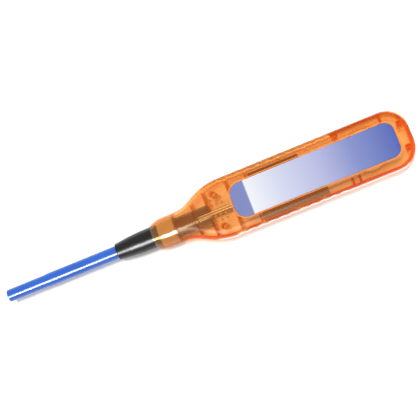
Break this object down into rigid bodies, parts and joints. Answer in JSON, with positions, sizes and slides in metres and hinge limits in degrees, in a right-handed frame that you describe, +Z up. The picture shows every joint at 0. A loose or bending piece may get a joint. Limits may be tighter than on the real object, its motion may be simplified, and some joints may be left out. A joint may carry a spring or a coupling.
{
  "type": "fibre connector cleaning pen",
  "caption": "Push-to-clean pen for fibre connectors: blue nozzle tube, black nose cone and a translucent orange handle with its thread drive inside.",
  "frame": {"origin": "middle of the pen's footprint, on the surface that it lies on", "axes": "+X from the nozzle tip to the rear end, +Z up out of the label face, +Y across the handle"},
  "size_m": [0.1964, 0.027, 0.0154],
  "materials": {
    "orange_plastic": "translucent moulded plastic, glossy",
    "blue_plastic": "moulded plastic, glossy",
    "black_plastic": "moulded plastic, satin",
    "dark_frame_plastic": "moulded plastic, satin",
    "label_film": "printed film, satin",
    "natural_plastic": "unpigmented moulded plastic",
    "spring_steel": "bright drawn wire",
    "steel_pin": "ground steel",
    "white_plastic": "moulded plastic, satin",
    "thread": "fine woven microfibre thread"
  },
  "bodies": {
    "handle": {"top_shell": "orange_plastic", "bottom_shell": "orange_plastic", "nose_collar": "orange_plastic", "label": "label_film", "core_anchor": "natural_plastic", "return_spring": "spring_steel", "take_up_axle": "steel_pin", "supply_axle": "steel_pin", "drag_washer": "spring_steel", "ratchet_pawl": "natural_plastic", "supply_strand": "thread", "return_strand": "thread"},
    "nozzle": {"tip_sleeve": "blue_plastic", "guide_tube": "blue_plastic", "nose_cone": "black_plastic", "cam_pin": "steel_pin", "drive_link": "natural_plastic", "slide_frame": "dark_frame_plastic"},
    "probe": {"probe_core": "natural_plastic", "tip_spring": "spring_steel"},
    "tip": {"probe_tip": "white_plastic", "tip_thread": "thread"},
    "drive": {"drive_gear": "white_plastic"},
    "take_up": {"take_up_spool": "white_plastic", "take_up_winding": "thread"},
    "supply": {"supply_spool": "white_plastic", "supply_winding": "thread"}
  },
  "joints": [
    {"name": "nozzle_press", "type": "slide", "parent": "handle", "child": "nozzle", "axis": [1, 0, 0], "range_m": [0, 0.008], "stiffness_N_per_m": 600, "springref_m": -0.006, "deforming": ["return_spring"]},
    {"name": "probe_turn", "type": "hinge", "parent": "handle", "child": "probe", "pos_m": [0, 0, 0.0077], "axis": [1, 0, 0], "range_deg": [0, 180]},
    {"name": "tip_float", "type": "slide", "parent": "probe", "child": "tip", "axis": [1, 0, 0], "range_m": [0, 0.001], "stiffness_N_per_m": 300, "springref_m": -0.001, "deforming": ["tip_spring"]},
    {"name": "drive_turn", "type": "hinge", "parent": "handle", "child": "drive", "pos_m": [0.04943, 0, 0.0077], "axis": [0, 0, 1], "range_deg": [0, 72]},
    {"name": "take_up_turn", "type": "hinge", "parent": "handle", "child": "take_up", "pos_m": [0.04943, 0, 0.0077], "axis": [0, 0, 1], "range_deg": [0, 72]},
    {"name": "supply_turn", "type": "hinge", "parent": "handle", "child": "supply", "pos_m": [0.0774, 0, 0.0077], "axis": [0, 0, 1], "range_deg": [0, 46.6]}
  ],
  "couplings": [
    {"joint": "probe_turn", "follows": "nozzle_press", "rad_per_m": 392.69},
    {"joint": "drive_turn", "follows": "nozzle_press", "rad_per_m": 156.25},
    {"joint": "take_up_turn", "follows": "nozzle_press", "rad_per_m": 156.25},
    {"joint": "supply_turn", "follows": "nozzle_press", "rad_per_m": 101.1}
  ]
}
